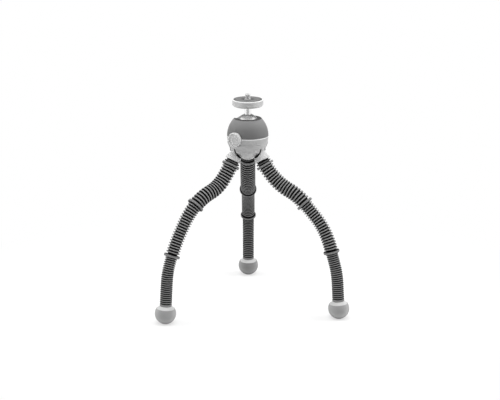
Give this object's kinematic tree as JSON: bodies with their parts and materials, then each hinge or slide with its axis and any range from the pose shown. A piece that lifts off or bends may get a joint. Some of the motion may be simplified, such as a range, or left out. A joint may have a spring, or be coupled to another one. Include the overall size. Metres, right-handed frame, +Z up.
{
  "type": "flexible leg tripod",
  "caption": "Small camera tripod with bendable ribbed legs on ball feet, a split round hub with a lock knob, and a ball head with a padded camera plate.",
  "frame": {"origin": "the point on the floor straight under the head's axis, with the legs standing as pictured", "axes": "+Z up along the head's axis and the camera screw, front towards -Y, +X to the right seen from the front"},
  "size_m": [0.2198, 0.2024, 0.2499],
  "materials": {
    "plate": "satin, light grey",
    "plate_pad": "matt, dark grey",
    "camera_screw": "bright",
    "ball": "polished",
    "ball_ring": "natural, low friction",
    "dome": "fine matt grain, dark grey",
    "shell": "satin, light grey",
    "knob": "satin, light grey",
    "nut": "plain",
    "screws": "zinc plated",
    "anchor": "cast",
    "socket": "satin, light grey",
    "sleeve": "matt, dark grey",
    "wire": "drawn, soft",
    "foot_cap": "satin, light grey",
    "foot_pad": "matt, mid grey"
  },
  "bodies": {
    "hub": {"upper_dome": "dome", "lower_shell": "shell", "knob_nut": "nut", "leg_anchor": "anchor", "anchor_screws": "screws", "left_leg_socket": "socket", "left_sleeve_root": "sleeve", "left_core_wire": "wire", "right_leg_socket": "socket", "right_sleeve_root": "sleeve", "right_core_wire": "wire", "rear_leg_socket": "socket", "rear_sleeve_root": "sleeve", "rear_core_wire": "wire"},
    "ball_ring": {"ball_ring": "ball_ring"},
    "camera_head": {"ball_stem": "ball", "top_plate": "plate", "plate_pad": "plate_pad", "camera_screw": "camera_screw"},
    "ball_seat": {"ball_seat": "ball_ring"},
    "knob_screw": {"knob_screw": "screws"},
    "lock_knob": {"lock_knob": "knob"},
    "left_upper_1": {"left_upper_sleeve_1": "sleeve"},
    "left_upper_2": {"left_upper_sleeve_2": "sleeve"},
    "left_upper_3": {"left_upper_sleeve_3": "sleeve"},
    "left_middle_1": {"left_middle_sleeve_1": "sleeve"},
    "left_middle_2": {"left_middle_sleeve_2": "sleeve"},
    "left_middle_3": {"left_middle_sleeve_3": "sleeve"},
    "left_lower_1": {"left_lower_sleeve_1": "sleeve"},
    "left_lower_2": {"left_lower_sleeve_2": "sleeve"},
    "left_lower_3": {"left_lower_sleeve_3": "sleeve"},
    "left_lower_4": {"left_lower_sleeve_4": "sleeve", "left_foot_cap": "foot_cap", "left_foot_pad": "foot_pad"},
    "right_upper_1": {"right_upper_sleeve_1": "sleeve"},
    "right_upper_2": {"right_upper_sleeve_2": "sleeve"},
    "right_upper_3": {"right_upper_sleeve_3": "sleeve"},
    "right_middle_1": {"right_middle_sleeve_1": "sleeve"},
    "right_middle_2": {"right_middle_sleeve_2": "sleeve"},
    "right_middle_3": {"right_middle_sleeve_3": "sleeve"},
    "right_lower_1": {"right_lower_sleeve_1": "sleeve"},
    "right_lower_2": {"right_lower_sleeve_2": "sleeve"},
    "right_lower_3": {"right_lower_sleeve_3": "sleeve"},
    "right_lower_4": {"right_lower_sleeve_4": "sleeve", "right_foot_cap": "foot_cap", "right_foot_pad": "foot_pad"},
    "rear_upper_1": {"rear_upper_sleeve_1": "sleeve"},
    "rear_upper_2": {"rear_upper_sleeve_2": "sleeve"},
    "rear_upper_3": {"rear_upper_sleeve_3": "sleeve"},
    "rear_middle_1": {"rear_middle_sleeve_1": "sleeve"},
    "rear_middle_2": {"rear_middle_sleeve_2": "sleeve"},
    "rear_middle_3": {"rear_middle_sleeve_3": "sleeve"},
    "rear_lower_1": {"rear_lower_sleeve_1": "sleeve"},
    "rear_lower_2": {"rear_lower_sleeve_2": "sleeve"},
    "rear_lower_3": {"rear_lower_sleeve_3": "sleeve"},
    "rear_lower_4": {"rear_lower_sleeve_4": "sleeve", "rear_foot_cap": "foot_cap", "rear_foot_pad": "foot_pad"}
  },
  "joints": [
    {"name": "pan", "type": "hinge", "parent": "hub", "child": "ball_ring", "pos_m": [0, 0, 0.21343], "axis": [0, 0, 1], "continuous": true},
    {"name": "tilt", "type": "hinge", "parent": "ball_ring", "child": "camera_head", "pos_m": [0, 0, 0.21343], "axis": [1, 0, 0], "range_deg": [-33, 33]},
    {"name": "lock_travel", "type": "slide", "parent": "hub", "child": "knob_screw", "axis": [-0.6157, -0.788, 0], "range_m": [0, 0.00048]},
    {"name": "lock_turn", "type": "hinge", "parent": "knob_screw", "child": "lock_knob", "pos_m": [-0.01268, -0.01623, 0.20123], "axis": [-0.6157, -0.788, 0], "range_deg": [0, 216.1]},
    {"name": "seat_drop", "type": "slide", "parent": "hub", "child": "ball_seat", "axis": [0, 0, -1], "range_m": [0, 0.00038438]},
    {"name": "left_upper_bend", "type": "hinge", "parent": "hub", "child": "left_upper_1", "pos_m": [-0.01715, -0.0099, 0.17443], "axis": [-0.5878, 0.809, 0], "range_deg": [-11, 9.5], "deforming": ["left_core_wire"]},
    {"name": "left_upper_sway", "type": "hinge", "parent": "left_upper_1", "child": "left_upper_2", "pos_m": [-0.02826, -0.01797, 0.15469], "axis": [-0.6228, -0.4525, 0.6383], "range_deg": [-9.5, 9.5], "deforming": ["left_core_wire"]},
    {"name": "left_upper_bend_2", "type": "hinge", "parent": "left_upper_2", "child": "left_upper_3", "pos_m": [-0.04204, -0.02798, 0.14284], "axis": [-0.5878, 0.809, 0], "range_deg": [-11, 9.5], "deforming": ["left_core_wire"]},
    {"name": "left_middle_bend", "type": "hinge", "parent": "left_upper_3", "child": "left_middle_1", "pos_m": [-0.05687, -0.03876, 0.13254], "axis": [-0.5878, 0.809, 0], "range_deg": [-9, 12], "deforming": ["left_core_wire"]},
    {"name": "left_middle_sway", "type": "hinge", "parent": "left_middle_1", "child": "left_middle_2", "pos_m": [-0.069, -0.04757, 0.11569], "axis": [-0.681, -0.4948, 0.5398], "range_deg": [-9.5, 9.5], "deforming": ["left_core_wire"]},
    {"name": "left_middle_bend_2", "type": "hinge", "parent": "left_middle_2", "child": "left_middle_3", "pos_m": [-0.07656, -0.05306, 0.09961], "axis": [-0.5878, 0.809, 0], "range_deg": [-9, 12], "deforming": ["left_core_wire"]},
    {"name": "left_lower_bend", "type": "hinge", "parent": "left_middle_3", "child": "left_lower_1", "pos_m": [-0.08396, -0.05845, 0.07968], "axis": [-0.5878, 0.809, 0], "range_deg": [-8.5, 9.5], "deforming": ["left_core_wire"]},
    {"name": "left_lower_sway", "type": "hinge", "parent": "left_lower_1", "child": "left_lower_2", "pos_m": [-0.08817, -0.0615, 0.0643], "axis": [-0.779, -0.5659, 0.27], "range_deg": [-9.5, 9.5], "deforming": ["left_core_wire"]},
    {"name": "left_lower_bend_2", "type": "hinge", "parent": "left_lower_2", "child": "left_lower_3", "pos_m": [-0.09032, -0.06306, 0.05017], "axis": [-0.5878, 0.809, 0], "range_deg": [-8.5, 9.5], "deforming": ["left_core_wire"]},
    {"name": "left_lower_bend_3", "type": "hinge", "parent": "left_lower_3", "child": "left_lower_4", "pos_m": [-0.09111, -0.06364, 0.03821], "axis": [-0.5878, 0.809, 0], "range_deg": [-8.5, 9.5], "deforming": ["left_core_wire"]},
    {"name": "right_upper_bend", "type": "hinge", "parent": "hub", "child": "right_upper_1", "pos_m": [0.01715, -0.0099, 0.17443], "axis": [-0.3987, -0.9171, 0], "range_deg": [-11, 9.5], "deforming": ["right_core_wire"]},
    {"name": "right_upper_sway", "type": "hinge", "parent": "right_upper_1", "child": "right_upper_2", "pos_m": [0.03068, -0.01579, 0.1555], "axis": [0.638, -0.2774, 0.7183], "range_deg": [-9.5, 9.5], "deforming": ["right_core_wire"]},
    {"name": "right_upper_bend_2", "type": "hinge", "parent": "right_upper_2", "child": "right_upper_3", "pos_m": [0.04655, -0.02269, 0.1438], "axis": [-0.3987, -0.9171, 0], "range_deg": [-11, 9.5], "deforming": ["right_core_wire"]},
    {"name": "right_middle_bend", "type": "hinge", "parent": "right_upper_3", "child": "right_middle_1", "pos_m": [0.06242, -0.02959, 0.13187], "axis": [-0.3987, -0.9171, 0], "range_deg": [-9, 12], "deforming": ["right_core_wire"]},
    {"name": "right_middle_sway", "type": "hinge", "parent": "right_middle_1", "child": "right_middle_2", "pos_m": [0.0767, -0.03579, 0.11542], "axis": [0.6824, -0.2967, 0.6681], "range_deg": [-9.5, 9.5], "deforming": ["right_core_wire"]},
    {"name": "right_middle_bend_2", "type": "hinge", "parent": "right_middle_2", "child": "right_middle_3", "pos_m": [0.08644, -0.04003, 0.1002], "axis": [-0.3987, -0.9171, 0], "range_deg": [-9, 12], "deforming": ["right_core_wire"]},
    {"name": "right_lower_bend", "type": "hinge", "parent": "right_middle_3", "child": "right_lower_1", "pos_m": [0.09377, -0.04322, 0.07981], "axis": [-0.3987, -0.9171, 0], "range_deg": [-8.5, 9.5], "deforming": ["right_core_wire"]},
    {"name": "right_lower_sway", "type": "hinge", "parent": "right_lower_1", "child": "right_lower_2", "pos_m": [0.09785, -0.04499, 0.0642], "axis": [0.8774, -0.3815, 0.291], "range_deg": [-9.5, 9.5], "deforming": ["right_core_wire"]},
    {"name": "right_lower_bend_2", "type": "hinge", "parent": "right_lower_2", "child": "right_lower_3", "pos_m": [0.10069, -0.04623, 0.05015], "axis": [-0.3987, -0.9171, 0], "range_deg": [-8.5, 9.5], "deforming": ["right_core_wire"]},
    {"name": "right_lower_bend_3", "type": "hinge", "parent": "right_lower_3", "child": "right_lower_4", "pos_m": [0.10173, -0.04668, 0.03821], "axis": [-0.3987, -0.9171, 0], "range_deg": [-8.5, 9.5], "deforming": ["right_core_wire"]},
    {"name": "rear_upper_bend", "type": "hinge", "parent": "hub", "child": "rear_upper_1", "pos_m": [0, 0.0198, 0.17443], "axis": [1, -0.0052, 0], "range_deg": [-11, 9.5], "deforming": ["rear_core_wire"]},
    {"name": "rear_upper_sway", "type": "hinge", "parent": "rear_upper_1", "child": "rear_upper_2", "pos_m": [0.00007, 0.03238, 0.1539], "axis": [0.0044, 0.8387, 0.5446], "range_deg": [-9.5, 9.5], "deforming": ["rear_core_wire"]},
    {"name": "rear_upper_bend_2", "type": "hinge", "parent": "rear_upper_2", "child": "rear_upper_3", "pos_m": [0.00013, 0.04543, 0.13749], "axis": [1, -0.0052, 0], "range_deg": [-11, 9.5], "deforming": ["rear_core_wire"]},
    {"name": "rear_middle_bend", "type": "hinge", "parent": "rear_upper_3", "child": "rear_middle_1", "pos_m": [0.00022, 0.06136, 0.12364], "axis": [1, -0.0052, 0], "range_deg": [-9, 12], "deforming": ["rear_core_wire"]},
    {"name": "rear_middle_sway", "type": "hinge", "parent": "rear_middle_1", "child": "rear_middle_2", "pos_m": [0.00031, 0.0798, 0.11049], "axis": [0.003, 0.5736, 0.8192], "range_deg": [-9.5, 9.5], "deforming": ["rear_core_wire"]},
    {"name": "rear_middle_bend_2", "type": "hinge", "parent": "rear_middle_2", "child": "rear_middle_3", "pos_m": [0.00039, 0.09381, 0.09831], "axis": [1, -0.0052, 0], "range_deg": [-9, 12], "deforming": ["rear_core_wire"]},
    {"name": "rear_lower_bend", "type": "hinge", "parent": "rear_middle_3", "child": "rear_lower_1", "pos_m": [0.00045, 0.10587, 0.08009], "axis": [1, -0.0052, 0], "range_deg": [-8.5, 9.5], "deforming": ["rear_core_wire"]},
    {"name": "rear_lower_sway", "type": "hinge", "parent": "rear_lower_1", "child": "rear_lower_2", "pos_m": [0.00047, 0.11033, 0.06453], "axis": [0.0052, 0.9903, 0.1392], "range_deg": [-9.5, 9.5], "deforming": ["rear_core_wire"]},
    {"name": "rear_lower_bend_2", "type": "hinge", "parent": "rear_lower_2", "child": "rear_lower_3", "pos_m": [0.00048, 0.11159, 0.05019], "axis": [1, -0.0052, 0], "range_deg": [-8.5, 9.5], "deforming": ["rear_core_wire"]},
    {"name": "rear_lower_bend_3", "type": "hinge", "parent": "rear_lower_3", "child": "rear_lower_4", "pos_m": [0.00048, 0.11211, 0.03821], "axis": [1, -0.0052, 0], "range_deg": [-8.5, 9.5], "deforming": ["rear_core_wire"]}
  ],
  "couplings": [
    {"joint": "lock_turn", "follows": "lock_travel", "rad_per_m": 7854},
    {"joint": "seat_drop", "follows": "lock_travel", "ratio": 0.8},
    {"joint": "left_upper_bend_2", "follows": "left_upper_bend", "ratio": 1},
    {"joint": "left_middle_sway", "follows": "left_upper_sway", "ratio": 1},
    {"joint": "left_middle_bend_2", "follows": "left_middle_bend", "ratio": 1},
    {"joint": "left_lower_sway", "follows": "left_upper_sway", "ratio": 1},
    {"joint": "left_lower_bend_2", "follows": "left_lower_bend", "ratio": 1},
    {"joint": "left_lower_bend_3", "follows": "left_lower_bend", "ratio": 1},
    {"joint": "right_upper_bend_2", "follows": "right_upper_bend", "ratio": 1},
    {"joint": "right_middle_sway", "follows": "right_upper_sway", "ratio": 1},
    {"joint": "right_middle_bend_2", "follows": "right_middle_bend", "ratio": 1},
    {"joint": "right_lower_sway", "follows": "right_upper_sway", "ratio": 1},
    {"joint": "right_lower_bend_2", "follows": "right_lower_bend", "ratio": 1},
    {"joint": "right_lower_bend_3", "follows": "right_lower_bend", "ratio": 1},
    {"joint": "rear_upper_bend_2", "follows": "rear_upper_bend", "ratio": 1},
    {"joint": "rear_middle_sway", "follows": "rear_upper_sway", "ratio": 1},
    {"joint": "rear_middle_bend_2", "follows": "rear_middle_bend", "ratio": 1},
    {"joint": "rear_lower_sway", "follows": "rear_upper_sway", "ratio": 1},
    {"joint": "rear_lower_bend_2", "follows": "rear_lower_bend", "ratio": 1},
    {"joint": "rear_lower_bend_3", "follows": "rear_lower_bend", "ratio": 1}
  ]
}
